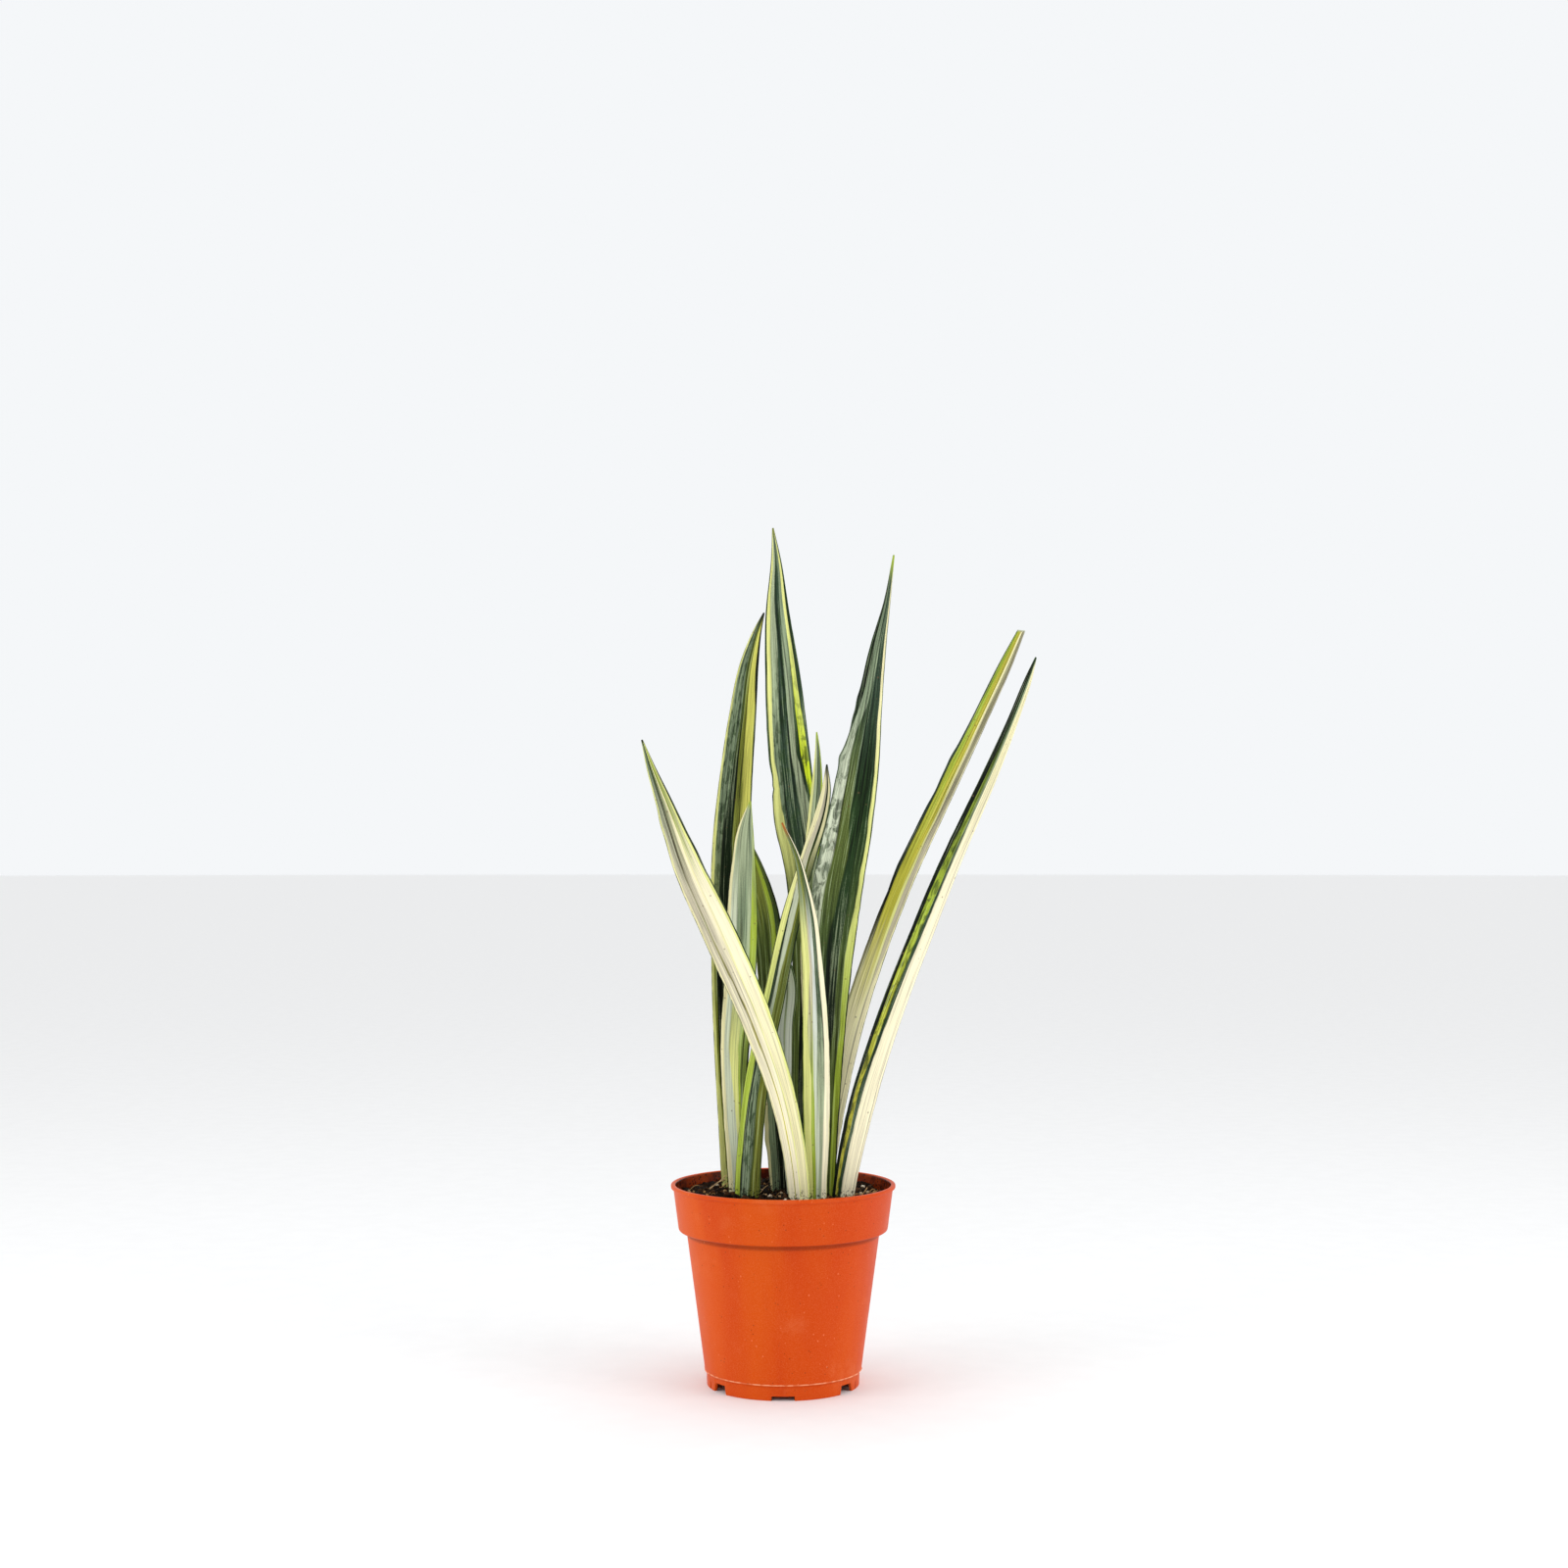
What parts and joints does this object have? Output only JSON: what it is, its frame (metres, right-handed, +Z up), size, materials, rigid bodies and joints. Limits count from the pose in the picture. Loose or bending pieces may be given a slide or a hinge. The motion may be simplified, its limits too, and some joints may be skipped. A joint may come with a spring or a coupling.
{
  "type": "potted snake plant",
  "caption": "Variegated snake plant with upright sword leaves, rhizomes and roots in soil, in a tapered plastic nursery pot; a living plant to stand on a sill, shelf or table.",
  "frame": {"origin": "On the ground, under the middle of the whole plant's box; the pot's axis stands 28 mm to the left of it (-X) and 2 mm behind it (+Y), because the leaves overhang the pot to the right.", "axes": "+Z up along the leaves, -Y the plant's front, +X to the right seen from the front."},
  "size_m": [0.1814, 0.1206, 0.4061],
  "materials": {
    "terracotta_plastic": "terracotta-orange injection-moulded plastic, semi-matte, finely speckled, lightly scuffed",
    "potting_soil": "dark moist peat mix with bark fibres and white perlite grains",
    "rhizome_bark": "orange-brown ringed rhizome skin with pale tan roots",
    "leaf_cream": "waxy leaf, cream and yellow lengthwise bands with grey-green hairlines",
    "leaf_green": "waxy leaf, dark green and silver-grey lengthwise streaks, yellow margins",
    "leaf_pale": "waxy leaf, pale grey-green with fine streaks and cream margins"
  },
  "bodies": {
    "root": {"pot": "terracotta_plastic", "soil": "potting_soil", "rhizome_left": "rhizome_bark", "rhizome_right": "rhizome_bark", "leaf_front_leaning": "leaf_cream", "leaf_tall_left": "leaf_green", "leaf_mid_left": "leaf_pale", "leaf_dark_left": "leaf_green", "leaf_tall_centre": "leaf_green", "leaf_slim": "leaf_pale", "leaf_pale_short": "leaf_pale", "leaf_crossing": "leaf_cream", "leaf_front_short": "leaf_pale", "leaf_broad_right": "leaf_green", "leaf_clipped_right": "leaf_cream", "leaf_outer_right": "leaf_cream"}
  },
  "joints": []
}
